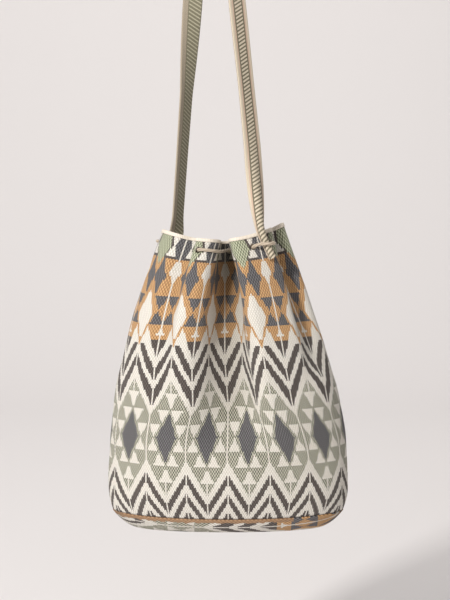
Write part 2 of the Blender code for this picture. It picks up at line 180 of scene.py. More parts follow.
class Bench:
    """One material under construction."""

    def __init__(self, name: str) -> None:
        """Starts a material with a plain Principled shader."""
        self.material = bpy.data.materials.new(name)
        self.material.use_nodes = True
        self.tree = self.material.node_tree
        self.shader = self.tree.nodes["Principled BSDF"]

    def feed(self, socket: bpy.types.NodeSocket, value: object) -> None:
        """Links a value to a socket, or sets it there."""
        if isinstance(value, Value):
            self.tree.links.new(value.socket, socket)
        else:
            socket.default_value = value

    def node(
        self, kind: str, settings: dict | None = None, inputs: dict | None = None
    ) -> bpy.types.Node:
        """Adds a node.

        Args:
            kind: the node's type.
            settings: properties set first; "stops" fills a colour ramp.
            inputs: values or links for its sockets, by name or index.

        Returns:
            The new node.
        """
        made = self.tree.nodes.new(kind)
        for name, value in (settings or {}).items():
            if name == "stops":
                self.fill_ramp(made.color_ramp, value)
            else:
                setattr(made, name, value)
        for key, value in (inputs or {}).items():
            self.feed(made.inputs[key], value)
        return made

    def fill_ramp(self, ramp: bpy.types.ColorRamp, stops: Sequence[tuple]) -> None:
        """Sets a ramp's stops, each a position and a colour."""
        ramp.interpolation = "CONSTANT"
        while len(ramp.elements) < len(stops):
            ramp.elements.new(1.0)
        for element, (position, colour) in zip(ramp.elements, stops):
            element.position = position
            element.color = (*colour, 1)

    def math(self, operation: str, *values: Number) -> Value:
        """A Math node of this operation on these values."""
        made = self.node("ShaderNodeMath", {"operation": operation}, dict(enumerate(values)))
        return Value(self, made.outputs[0])

    def mix(self, share: Number, first: object, second: object, blend: str = "MIX") -> Value:
        """A colour mixed from two colours.

        Args:
            share: how much of the second.
            first: a colour or a link.
            second: a colour or a link.
            blend: the way that they mix.

        Returns:
            The mixed colour.
        """
        settings = {"data_type": "RGBA", "blend_type": blend}
        made = self.node("ShaderNodeMix", settings, {0: share, 6: rgba(first), 7: rgba(second)})
        return Value(self, made.outputs[2])

    def noise(self, scale: float, detail: float) -> Value:
        """Soft noise from 0 to 1 over the object's places."""
        inputs = {"Vector": self.place(), "Scale": scale, "Detail": detail}
        return Value(self, self.node("ShaderNodeTexNoise", {}, inputs).outputs["Fac"])

    def place(self) -> Value:
        """Places on the object, in metres."""
        return Value(self, self.node("ShaderNodeTexCoord").outputs["Object"])

    def split(self, vector: Value) -> list[Value]:
        """The three parts of a vector."""
        parts = self.node("ShaderNodeSeparateXYZ", {}, {0: vector})
        return [Value(self, part) for part in parts.outputs]

    def layer(self, name: str) -> list[Value]:
        """The parts of a layer of the mesh, the last one empty."""
        made = self.node("ShaderNodeUVMap", {"uv_map": name})
        return self.split(Value(self, made.outputs[0]))

    def pair(self, x: Number, y: Number) -> Value:
        """A vector of two values."""
        return Value(self, self.node("ShaderNodeCombineXYZ", {}, {0: x, 1: y}).outputs[0])

    def finish(
        self, colour: Value, rough: Number, height: Value, depth: float, **plain: float
    ) -> bpy.types.Material:
        """Joins colour, roughness and relief to the shader.

        Args:
            colour: the base colour.
            rough: the roughness.
            height: the relief, from 0 to 1.
            depth: how deep the relief is, in metres.
            plain: values set on other sockets of the shader.

        Returns:
            The finished material.
        """
        inputs = {"Strength": 1.0, "Distance": depth, "Height": height}
        bump = self.node("ShaderNodeBump", {}, inputs)
        self.feed(self.shader.inputs["Base Color"], colour)
        self.feed(self.shader.inputs["Roughness"], rough)
        self.feed(self.shader.inputs["Normal"], Value(self, bump.outputs[0]))
        for name, value in plain.items():
            self.shader.inputs[name.replace("_", " ")].default_value = value
        return self.material


def rgba(colour: object) -> object:
    """A colour with its alpha, or a link as it is."""
    return colour if isinstance(colour, Value) else (*colour, 1)


# ------------------------------------------------------------------- finishes


@dataclass(frozen=True)
class WovenPattern:
    """The stitched cloth, with its stepped geometric pattern in six yarns."""

    cells: int = 32
    courses: int = 132
    relief: float = 0.8 * MM
    line: float = 0.68
    half: float = 21.0
    tall: float = 172.0
    # Strength of the painted shade that darkens the cloth deep in the folds.
    fold_shade_strength: float = 0.85
    worn: tuple = (0.62, 0.55, 0.45)
    # Colour that the painted shade in the folds multiplies the cloth by.
    fold_shade_colour: tuple = (0.24, 0.215, 0.165)

    def stitches(self, bench: Bench) -> tuple[Value, Value, Value, Value, Value]:
        """Snaps the cloth to whole stitches.

        Args:
            bench: the material.

        Returns:
            How far the stitch is from the A axis, whole and plain, how high it is, the
            relief of the stitches and the tone of each stitch.
        """
        across, up, _ = bench.layer("cloth")
        u, w = across * self.cells, up * self.courses
        row = w.floor()
        shift = (row % 2) * 0.5
        column = (u + shift).floor() + 0.5 - shift
        middle, size = self.cells / 2, self.half * 2 / self.cells
        whole = abs(column % self.cells - middle) * size
        plain = abs(u % self.cells - middle) * size
        relief = 0.5 - 0.5 * (u * (2 * math.pi)).cos() * (w * math.pi).sin()
        places = {0: bench.pair(column, row)}
        random = bench.node("ShaderNodeTexWhiteNoise", {"noise_dimensions": "2D"}, places)
        # The hatch of dark and light dots sets how far each stitch goes from its yarn's lit colour
        # to its shaded colour: partly the mix of yarns in the stitches, partly painted shade
        # between them.
        hatch = (u * math.pi).cos() * (w * math.pi).cos()
        tone = Value(bench, random.outputs["Value"]) * 0.25 + (0.25 + 1.1 * hatch)
        return whole, plain, (row + 0.5) * (self.tall / self.courses), relief, tone

    def shapes(self, a: Value, plain: Value, r: Value) -> Iterator[tuple[Value, Yarn]]:
        """The pattern's shapes, each one over those before it.

        All lengths are in the pattern's own unit, of which one repeat is twice `half`
        wide and the wall is `tall` high. A and B are the upright axes that the pattern
        is mirrored about, and b is how far a stitch is from B.

        Args:
            a: how far the stitch is from the nearest A axis.
            plain: the same, not snapped to stitches.
            r: how high it is above the base seam.

        Yields:
            A shape's mask and its yarn.
        """
        b = self.half - a
        q = abs(r - 51.4)
        yield q - 1.08 * a < 13.8, Yarn.SAGE
        yield (abs(a - 7.2) - 0.67 * q < 0) & (q < 8.7), Yarn.CREAM
        yield (abs(b - 7.0) - 0.77 * (q - 9.5) < 0) & (q < 17.8), Yarn.CREAM
        yield (b - 0.73 * (q - 18.7) < 0) & (q < 27.7), Yarn.CREAM
        yield q + 1.45 * b < 18.0, Yarn.SAGE
        yield q + 1.45 * b < 15.4, Yarn.SLATE
        yield from self.zigzags(a, b, r)
        yield from self.ochre_band(a, b, r)
        yield from self.top_band(a, b, r)
        yield plain < self.line, Yarn.CREAM
        yield (plain > self.half - self.line) & (q > 27.7) & (r < 103), Yarn.CREAM

    def zigzags(self, a: Value, b: Value, r: Value) -> Iterator[tuple[Value, Yarn]]:
        """The dark zigzags, below and above the sage field."""
        low = r + a
        yield ((low + 0.5) % 12 < 6) & (low < 30), Yarn.CHARCOAL
        full = (r - 1.28 * a > 70.4) & (r - 1.08 * a < 80.9)
        arms = (r - 1.12 * a).between(86.3, 94.0) & (r < 110) & (b > 2.3)
        wedge = (a - 0.66 * (r - 100.5) < 0) & (r < 112)
        yield full | arms | wedge, Yarn.CHARCOAL

    def ochre_band(self, a: Value, b: Value, r: Value) -> Iterator[tuple[Value, Yarn]]:
        """The ochre field, with its diamonds, bow ties and small trees."""
        tray = (a - 0.6 * (r - 112) < 7.7) & r.between(112, 121.5)
        yield tray | r.between(121.5, 159.4), Yarn.OCHRE
        yield (a + 0.65 * r < 0.65 * 120.6) & (r > 114.2) & (r < 121.5), Yarn.CREAM
        yield (a - 0.9 * abs(r - 130) < 5.4) & r.between(121.5, 138.3), Yarn.SLATE
        yield abs(r - 129.8) / 7.2 + a / 6.4 < 1, Yarn.OCHRE
        yield abs(r - 149.2) / 10.3 + abs(b - 7.1) / 7.1 < 1, Yarn.SLATE
        yield abs(r - 152.5) / 7.6 + a / 5.4 < 1, Yarn.CREAM
        yield abs(r - 127) / 18.6 + b / 12.6 < 1, Yarn.OCHRE
        yield abs(r - 127) / 15 + b / 10.2 < 1, Yarn.CREAM

    def top_band(self, a: Value, b: Value, r: Value) -> Iterator[tuple[Value, Yarn]]:
        """The band under the rim, with its leaf-green hexagons."""
        above = r > 159.4
        yield above, Yarn.CREAM
        yield above & (r < 160.6), Yarn.CHARCOAL
        yield above & (a + 0.55 * abs(r - 166.4) < 7.6), Yarn.SLATE
        edge = (r - 154.8).least(10.4 - 0.5 * (r - 166.2))
        yield above & (b - edge < 1.5), Yarn.CHARCOAL
        yield (r > 154.8) & (b < edge), Yarn.LEAF

    def dye(self, bench: Bench, ink: Value, relief: Value, own: Value) -> Value:
        """Colours each stitch, with painted shade darker in the grooves and deep in the folds.

        Args:
            bench: the material.
            ink: the number of each stitch's yarn.
            relief: the relief of the stitches.
            own: the tone of each stitch.

        Returns:
            The colour.
        """
        step = 1 / len(Yarn)
        place = (ink + 0.5) * step
        ramps = []
        for tone in (1, 2):
            stops = [(yarn.number * step, yarn.value[tone]) for yarn in Yarn]
            made = bench.node("ShaderNodeValToRGB", {"stops": stops}, {0: place})
            ramps.append(Value(bench, made.outputs[0]))
        lit, shaded = ramps
        # Painted shade: each stitch mixes its yarn's shaded and lit colours, darker in the grooves
        # by the relief and darker in the hatch's dark dots by the tone.
        share = (relief * 0.45 + own * 0.75).least(1.0).most(0.0)
        colour = bench.mix(share, shaded, lit)
        faded = bench.mix(bench.noise(9.0, 2.0) * 0.06, colour, self.worn)
        # Painted shade: the cloth deep in a fold is multiplied darker.
        return bench.mix(bench.layer("fold_shade")[0] * self.fold_shade_strength, faded, self.fold_shade_colour, "MULTIPLY")

    def woven(self, bench: Bench) -> tuple[Value, Value, Value]:
        """The colour, the relief and the tone of the stitches."""
        a, plain, r, relief, own = self.stitches(bench)
        ink: Number = Yarn.CREAM.number
        for mask, yarn in self.shapes(a, plain, r):
            ink = ink + (yarn.number - ink) * mask
        return self.dye(bench, ink, relief, own), relief, own

    def material(self, name: str) -> bpy.types.Material:
        """The outer face of the cloth."""
        bench = Bench(name)
        colour, relief, _ = self.woven(bench)
        height = relief * 0.8 + bench.noise(2600.0, 2.0) * 0.25
        return bench.finish(colour, 0.92, height, self.relief, **SHEEN)


@dataclass(frozen=True)
class BasePattern(WovenPattern):
    """The base's cloth, with the turned brown edge that shows under the seam."""

    edge_bottom: float = -722.2 * MM
    edge_right: float = 88.0 * MM
    edge_ragged: float = 5.0 * MM
    browns: tuple = ((0.22, 0.12, 0.06), (0.52, 0.33, 0.19))

    def material(self, name: str) -> bpy.types.Material:
        """The outer face of the base."""
        bench = Bench(name)
        colour, relief, own = self.woven(bench)
        x, _, z = bench.split(bench.place())
        ragged = bench.noise(170.0, 1.0) * self.edge_ragged
        band = (z + ragged > self.edge_bottom) & (x < self.edge_right)
        # Painted shade: the brown is darker in the grooves between stitches, and its tone varies
        # from stitch to stitch.
        brown = bench.mix(relief * 0.6 + own * 0.3, *self.browns)
        turned = bench.mix(band, colour, brown)
        return bench.finish(turned, 0.92, relief, self.relief, **SHEEN)


@dataclass(frozen=True)
class InnerFace:
    """The inside of the cloth, where the carried yarns mute the pattern."""

    relief: float = 0.45 * MM
    carried: tuple = (0.60, 0.50, 0.40)
    mute: float = 0.62

    def material(self, name: str) -> bpy.types.Material:
        """The inner face of the cloth."""
        bench = Bench(name)
        colour, relief, _ = WovenPattern().woven(bench)
        muted = bench.mix(self.mute, colour, self.carried)
        height = relief * 0.7 + bench.noise(2200.0, 2.0) * 0.3
        return bench.finish(muted, 0.95, height, self.relief, Sheen_Weight=0.05)


@dataclass(frozen=True)
class RibbedTape:
    """Plain cream tape with fine ribs across it."""

    colour: tuple = (0.88, 0.82, 0.71)
    shade: tuple = (0.62, 0.53, 0.43)
    ribs: float = 190.0
    relief: float = 0.25 * MM

    def material(self, name: str) -> bpy.types.Material:
        """The tape that binds the rim."""
        bench = Bench(name)
        along, _, _ = bench.layer("cloth")
        rib = 0.5 + 0.5 * (along * self.ribs).cos()
        stain = bench.noise(60.0, 3.0)
        colour = bench.mix((rib * 0.6 + stain * 0.5).least(1.0), self.shade, self.colour)
        return bench.finish(colour, 0.88, rib, self.relief, Sheen_Weight=0.05)


@dataclass(frozen=True)
class TwistedCord:
    """Soft cotton cord of twisted strands."""

    colour: tuple = (0.56, 0.47, 0.37)
    shade: tuple = (0.30, 0.24, 0.17)
    tint: tuple = (0.42, 0.40, 0.31)
    relief: float = 0.2 * MM

    def material(self, name: str) -> bpy.types.Material:
        """The drawstring."""
        bench = Bench(name)
        _, groove, _ = bench.layer("cloth")
        fibres = bench.noise(1800.0, 3.0)
        drift = bench.noise(14.0, 2.0)
        colour = bench.mix((groove * 0.75 + fibres * 0.4).least(1.0), self.shade, self.colour)
        tinted = bench.mix(drift * 0.5, colour, self.tint, "MULTIPLY")
        warmed = bench.mix(0.35, colour, tinted)
        return bench.finish(warmed, 0.9, fibres, self.relief, Sheen_Weight=0.08)


@dataclass(frozen=True)
class LadderBand:
    """The strap's woven band: cream borders and an olive middle with slanted bars."""

    width: float = STRAP_WIDTH
    pitch: float = 4.1 * MM
    thread: tuple = (1.2 * MM, 1.05 * MM)
    middle: float = 0.55
    bars: float = 0.40
    # How far out the strip of painted shade on each cream border reaches, as a share of half the
    # width.
    border_shade_edge: float = 0.72
    slant: float = 0.60
    gap: float = -0.1
    back_middle: float = -0.22
    back_bars_at: tuple = (-0.17, 0.46)
    back_slant: float = 0.50
    back_gap: float = 0.45
    relief: float = 0.3 * MM
    olives: tuple = ((0.085, 0.075, 0.045), (0.19, 0.17, 0.105))
    creams: tuple = ((0.50, 0.42, 0.30), (0.74, 0.66, 0.53))
    # Colour of the strip of painted shade on each cream border.
    border_shade_colour: tuple = (0.56, 0.41, 0.31)
    back_olives: tuple = ((0.105, 0.098, 0.06), (0.24, 0.225, 0.145))
    back_bars: tuple = (0.44, 0.42, 0.30)
    back_borders: tuple = ((0.17, 0.145, 0.10), (0.52, 0.44, 0.34))
    worn: tuple = (0.55, 0.48, 0.38)

    def zones(self, bench: Bench, reverse: bool) -> tuple[Value, Value]:
        """Colour and relief of one face.

        Args:
            bench: the material.
            reverse: the muted face that lies against the bag.

        Returns:
            The colour and the relief.
        """
        across, along, _ = bench.layer("cloth")
        share = across * (1 / self.width)
        side = abs(share) * 2
        slope = along + across * (self.back_slant if reverse else self.slant)
        bar = (slope * (2 * math.pi / self.pitch)).cos() > (self.back_gap if reverse else self.gap)
        fine, long = (2 * math.pi / size for size in self.thread)
        grain = 0.5 + 0.5 * ((along * long).cos() * (across * fine).cos())
        if reverse:
            middle = share > self.back_middle
            olive = bench.mix(grain, *self.back_olives)
            bars = bar & share.between(*self.back_bars_at)
            ladder = bench.mix(bars, olive, self.back_bars)
            border = bench.mix(grain, *self.back_borders)
        else:
            middle = side < self.middle
            olive, cream = bench.mix(grain, *self.olives), bench.mix(grain, *self.creams)
            ladder = bench.mix(bar & (side < self.bars), olive, cream)
            # A strip of each cream border beside the ladder is painted in a shade colour.
            border = bench.mix(side.between(self.middle, self.border_shade_edge), cream, self.border_shade_colour)
        colour = bench.mix(middle, border, ladder)
        worn = bench.mix(bench.noise(25.0, 3.0) * 0.18, colour, self.worn)
        return worn, grain * 0.6 + (bar & middle) * 0.4

    def material(self, name: str, reverse: bool = False) -> bpy.types.Material:
        """One face of the strap."""
        bench = Bench(name)
        colour, height = self.zones(bench, reverse)
        return bench.finish(colour, 0.85, height, self.relief, Sheen_Weight=0.05)


@dataclass(frozen=True)
class PlainSurface:
    """A plain matt studio surface."""

    colour: tuple = (0.775, 0.752, 0.745)
    stained: float = 0.985

    def material(self, name: str) -> bpy.types.Material:
        """The floor and the wall of the studio."""
        bench = Bench(name)
        stain = bench.noise(1.2, 2.0)
        colour = bench.mix(stain, self.colour, tuple(part * self.stained for part in self.colour))
        bench.feed(bench.shader.inputs["Base Color"], colour)
        bench.shader.inputs["Roughness"].default_value = 0.95
        return bench.material


# ----------------------------------------------------------------- mesh tools


@dataclass
class Sheeting:
    """Rings of points that become a mesh with cloth coordinates.

    Each face corner has a pair of cloth coordinates, and a third number for its depth
    in a fold where the piece has folds, which the cloth's finish turns into painted shade.
    """

    name: str
    verts: list = field(default_factory=list)
    faces: list = field(default_factory=list)
    corners: list = field(default_factory=list)
    slots: list = field(default_factory=list)

    def strip(
        self,
        rings: np.ndarray,
        coordinates: np.ndarray,
        slot: int = 0,
        flip: bool = False,
        wrap: bool = True,
    ) -> int:
        """Adds rows of points joined row to row.

        Args:
            rings: points as rows, columns, 3.
            coordinates: cloth coordinates as rows, columns + 1, 2 or 3.
            slot: the material's index.
            flip: turns the faces over.
            wrap: joins each row's last point to its first.

        Returns:
            The index of the first vertex.
        """
        first = len(self.verts)
        rows, columns = rings.shape[:2]
        self.verts.extend(map(tuple, rings.reshape(-1, 3)))
        for i in range(rows - 1):
            for j in range(columns if wrap else columns - 1):
                k = (j + 1) % columns
                loop = [(i, j, j), (i, k, j + 1), (i + 1, k, j + 1), (i + 1, j, j)]
                loop = loop[::-1] if flip else loop
                self.faces.append([first + row * columns + column for row, column, _ in loop])
                self.corners.extend(tuple(coordinates[row, at]) for row, _, at in loop)
                self.slots.append(slot)
        return first

    def bridge(self, low: Sequence[int], high: Sequence[int], coordinates: Sequence) -> None:
        """Joins two closed rows of vertices."""
        count = len(low)
        for j in range(count):
            k = (j + 1) % count
            self.faces.append([low[j], low[k], high[k], high[j]])
            ends = (coordinates[j], coordinates[j + 1])
            self.corners.extend(tuple(ends[n]) for n in (0, 1, 1, 0))
            self.slots.append(0)

    def cap(self, ring: Sequence[int], coordinate: tuple, slot: int = 0) -> None:
        """Closes a row of vertices with one face."""
        self.faces.append(list(ring))
        self.corners.extend([coordinate] * len(ring))
        self.slots.append(slot)

    def build(self, materials: Sequence[bpy.types.Material]) -> bpy.types.Object:
        """Makes the object, shaded smooth."""
        mesh = bpy.data.meshes.new(self.name)
        mesh.from_pydata(self.verts, [], self.faces)
        corners = np.array([(*corner, 0.0, 0.0)[:4] for corner in self.corners], np.float32)
        # The second layer holds the depth in a fold, which the cloth's finish paints as shade.
        for name, pair in (("cloth", corners[:, :2]), ("fold_shade", corners[:, 2:])):
            layer = mesh.uv_layers.new(name=name)
            layer.data.foreach_set("uv", pair.ravel())
        for finish in materials:
            mesh.materials.append(finish)
        mesh.polygons.foreach_set("material_index", self.slots)
        mesh.validate(clean_customdata=False)
        mesh.shade_smooth()
        made = bpy.data.objects.new(self.name, mesh)
        bpy.context.scene.collection.objects.link(made)
        return made


def summed(steps: np.ndarray) -> np.ndarray:
    """The running total of these steps, from nought."""
    return np.concatenate(([0.0], np.cumsum(steps)))


def lengths_along(line: np.ndarray) -> np.ndarray:
    """How far along the line each of its points is."""
    return summed(np.linalg.norm(np.diff(line[:, :3], axis=0), axis=1))


def evenly(line: np.ndarray, spacing: float) -> np.ndarray:
    """The same line with even points."""
    where = lengths_along(line)
    at = np.linspace(0, where[-1], max(12, round(where[-1] / spacing)) + 1)
    return np.stack([np.interp(at, where, line[:, k]) for k in range(line.shape[1])], 1)


def soften(line: np.ndarray) -> np.ndarray:
    """The same line with softer corners and its ends kept."""
    inner = (line[:-2] + 2 * line[1:-1] + line[2:]) / 4
    return np.concatenate((line[:1], inner, line[-1:]))


def soften_ring(line: np.ndarray) -> np.ndarray:
    """The same closed line with softer corners."""
    return (np.roll(line, 1, 0) + 2 * line + np.roll(line, -1, 0)) / 4


# ----------------------------------------------------------- the gathered wall


ALONG = np.linspace(0, 1, 121)


def oval_length(half_width: float, half_depth: float) -> float:
    """Length round an oval, by Ramanujan's formula."""
    total = half_width + half_depth
    skew = ((half_width - half_depth) / total) ** 2
    return math.pi * total * (1 + 3 * skew / (10 + math.sqrt(4 - 3 * skew)))


def oval(half_width: float, half_depth: float, run: np.ndarray) -> tuple[np.ndarray, np.ndarray]:
    """Points and outward directions on an oval, run metres right of its front."""
    turn = np.linspace(-math.pi / 2, 1.5 * math.pi, 721)
    x, y = half_width * np.cos(turn), half_depth * np.sin(turn)
    length = summed(np.hypot(np.diff(x), np.diff(y)))
    angle = np.interp(np.mod(run, length[-1]), length, turn)
    out = unit(np.stack((np.cos(angle) / half_width, np.sin(angle) / half_depth), 1))
    return np.stack((half_width * np.cos(angle), half_depth * np.sin(angle)), 1), out


def meander(bend: float) -> tuple[np.ndarray, np.ndarray]:
    """A fold that keeps the cloth's length: shares run along and dipped inwards."""
    angle = bend * np.sin(2 * math.pi * ALONG)
    slopes = np.stack((np.cos(angle), np.sin(angle)))
    run, dip = (slopes[:, 1:] + slopes[:, :-1]) / 2 * ALONG[1]
    return summed(run), summed(dip)


@dataclass(frozen=True)
class GatheredWall:
    """The shape of the bag's wall: a tube of cloth, gathered towards the rim."""

    repeats: int = 14
    cloth: float = 2.2 * MM
    axis_x: float = 17.4 * MM
    axis_y: float = -38.0 * MM
    rim_z: float = -425.0 * MM
    height: float = 294.0 * MM
    rim_width: float = 128.0 * MM
    rim_depth: float = 80.0 * MM
    belly_width: float = 262.0 * MM
    belly_depth: float = 124.0 * MM
    belly_height: float = 24.0 * MM
    seam_width: float = 253.0 * MM
    seam_depth: float = 104.0 * MM
    tuck_height: float = 40.0 * MM
    width_curve: float = 1.95
    depth_curve: float = 5.0
    sway: float = 5.5 * MM
    rise_right: float = 0.100
    rise_back: float = -0.120
    rise_ends: float = 16.0 * MM
    rise_curve: int = 10
    front_centre: float = 3.5
    front_twist: float = 0.18
    twist_start: float = 0.35
    twist_end: float = 0.55
    pleats: tuple = (
        Pleat(at=1.68, span=0.87, bend=1.00, fade=0.41, lean=0.4),
        Pleat(at=3.66, span=2.80, bend=1.89, fade=0.24, lean=0.19),
        Pleat(at=6.45, span=1.2, bend=1.45, fade=0.50, lean=-0.1),
        Pleat(at=7.95, span=1.3, bend=1.60, fade=0.40, lean=0.0),
        Pleat(at=9.55, span=1.7, bend=1.75, fade=0.35, lean=0.0),
        Pleat(at=11.45, span=1.6, bend=1.70, fade=0.35, lean=0.0),
        Pleat(at=13.10, span=1.5, bend=1.65, fade=0.45, lean=0.0),
    )
    most_bend: float = 1.9
    # The dip into a fold at which the painted shade in the folds is at its darkest.
    deep: float = 50.0 * MM

    @property
    def girth(self) -> float:
        """Length of cloth round the bag."""
        return oval_length(self.belly_width / 2, self.belly_depth / 2)

    @property
    def repeat(self) -> float:
        """Width of one repeat of the pattern."""
        return self.girth / self.repeats

    def envelope(self, level: float) -> tuple[float, float, float]:
        """Sideways shift, half width and half depth of the oval at this level."""
        height = level * self.height
        rise = max(0.0, (height - self.belly_height) / (self.height - self.belly_height))
        under = max(0.0, 1 - height / self.belly_height)
        tuck = max(0.0, 1 - height / self.tuck_height)
        width = self.belly_width - (self.belly_width - self.rim_width) * rise**self.width_curve
        width -= (self.belly_width - self.seam_width) * under**2
        depth = self.belly_depth - (self.belly_depth - self.rim_depth) * rise**self.depth_curve
        depth -= (self.belly_depth - self.seam_depth) * tuck**2
        return -self.sway * rise * rise * (3 - 2 * rise), width / 2, depth / 2

    def bends(self, level: float, pull: float) -> list[float]:
        """The bend of each pleat at this level, for this pull on the gathers."""
        shares = [max(0.0, (level - p.fade) / (1 - p.fade)) ** 0.8 for p in self.pleats]
        full = [p.bend * pull * share for p, share in zip(self.pleats, shares)]
        return [min(bend, self.most_bend) for bend in full]

    def pull_at(self, level: float) -> float:
        """How hard the pleats fold to take up the cloth the oval has no room for."""
        _, half_width, half_depth = self.envelope(level)
        spare = (self.girth - oval_length(half_width, half_depth)) / self.repeat
        low, high = 0.0, 1.6
        for _ in range(30):
            pull = (low + high) / 2
            bends = self.bends(level, pull)
            taken = sum(p.span * (1 - meander(b)[0][-1]) for p, b in zip(self.pleats, bends))
            low, high = (pull, high) if taken < spare else (low, pull)
        return pull

    @lru_cache(maxsize=None)
    def section(self, level: float) -> "Section":
        """The wall's section at one level."""
        return Section(self, level)

    def skin(self, level: float, cloth: np.ndarray) -> tuple[np.ndarray, np.ndarray, np.ndarray]:
        """Points in the middle of the cloth, with directions out of it and up it."""
        step = 0.01
        section = self.section(level)
        run = unit(section.points(cloth + step) - section.points(cloth - step))
        low, high = self.section(level - step), self.section(min(level + step, 1.0))
        out = unit(np.cross(run, high.points(cloth) - low.points(cloth)))
        return section.points(cloth), out, np.cross(out, run)

    def columns(self, in_pleat: int, per_repeat: int) -> np.ndarray:
        """Cloth coordinates of the wall's columns, closest at the folds' edges."""
        found: list[float] = []
        last = 0.0
        for pleat in self.pleats:
            start = pleat.at - pleat.span / 2
            count = max(1, round((start - last) * per_repeat))
            found += list(np.linspace(last, start, count, endpoint=False))
            share = np.arange(in_pleat) / in_pleat
            share = share - 0.5 * np.sin(4 * math.pi * share) / (4 * math.pi)
            found += list(start + share * pleat.span)
            last = start + pleat.span
        count = max(1, round((self.repeats - last) * per_repeat))
        return np.array(found + list(np.linspace(last, self.repeats, count, endpoint=False)))


class Section:
    """The gathered wall at one level, seen from above."""

    def __init__(self, wall: GatheredWall, level: float) -> None:
        """Works out the folds at this level."""
        self.wall = wall
        self.level = level
        self.shift, self.half_width, self.half_depth = wall.envelope(level)
        self.folds = [meander(b) for b in wall.bends(level, wall.pull_at(level))]
        self.total = self.run(np.array([float(wall.repeats)]))[0]

    def run(self, cloth: np.ndarray) -> np.ndarray:
        """How far round the oval the cloth has come, in repeats."""
        turns, cloth = np.divmod(cloth, self.wall.repeats)
        run = cloth.copy()
        whole = float(self.wall.repeats)
        for pleat, (along, _) in zip(self.wall.pleats, self.folds):
            share = pleat.share(cloth)
            run -= pleat.span * (share - np.interp(share, ALONG, along))
            whole -= pleat.span * (1 - along[-1])
        return run + turns * whole

    def frame(self, cloth: np.ndarray) -> tuple[np.ndarray, np.ndarray]:
        """Points on the oval and the directions out of it."""
        grown = max(0.0, self.level / self.wall.twist_end - self.wall.twist_start)
        twist = self.wall.front_twist * min(1.0, grown / (1 - self.wall.twist_start))
        start = self.run(np.array([self.wall.front_centre + twist]))[0]
        size = oval_length(self.half_width, self.half_depth) / self.total
        return oval(self.half_width, self.half_depth, (self.run(cloth) - start) * size)

    def outside(self, cloth: np.ndarray, gap: float) -> np.ndarray:
        """Points over the folds, this far out of the oval."""
        points, out = self.frame(cloth)
        return self.place(points + out * gap)

    def dips(self, cloth: np.ndarray) -> list[np.ndarray]:
        """How far each fold takes the cloth into the bag."""
        wall, at = self.wall, np.mod(cloth, self.wall.repeats)
        folds = zip(wall.pleats, self.folds)
        return [np.interp(p.share(at), ALONG, dip) * p.span * wall.repeat for p, (_, dip) in folds]

    def points(self, cloth: np.ndarray) -> np.ndarray:
        """Points in the middle of the cloth's thickness."""
        points, _ = self.frame(cloth)
        _, ways = self.frame(np.array([pleat.at for pleat in self.wall.pleats]))
        for pleat, depth, out in zip(self.wall.pleats, self.dips(cloth), ways):
            side = np.array((-out[1], out[0]))
            points = points + (side * pleat.lean - out) * depth[:, None]
        return self.place(points)

    def fold_shade(self, cloth: np.ndarray) -> np.ndarray:
        """How much painted shade the cloth gets deep in its fold, from 0 to 1, growing as the cube
        of its dip.
        """
        return np.clip(sum(self.dips(cloth)) / self.wall.deep, 0, 1) ** 3

    def place(self, points: np.ndarray) -> np.ndarray:
        """Raises plan points to their height, and moves them to the bag's axis."""
        wall = self.wall
        x, y = points[:, 0] + self.shift, points[:, 1]
        ends = wall.rise_ends * (x / (wall.rim_width / 2)) ** 2
        tilt = (wall.rise_right * x + wall.rise_back * y + ends) * self.level**wall.rise_curve
        z = wall.rim_z - wall.height * (1 - self.level) + tilt
        return np.stack((wall.axis_x + x, wall.axis_y + y, z + 0 * x), 1)


# --------------------------------------------------------------- the bag's body


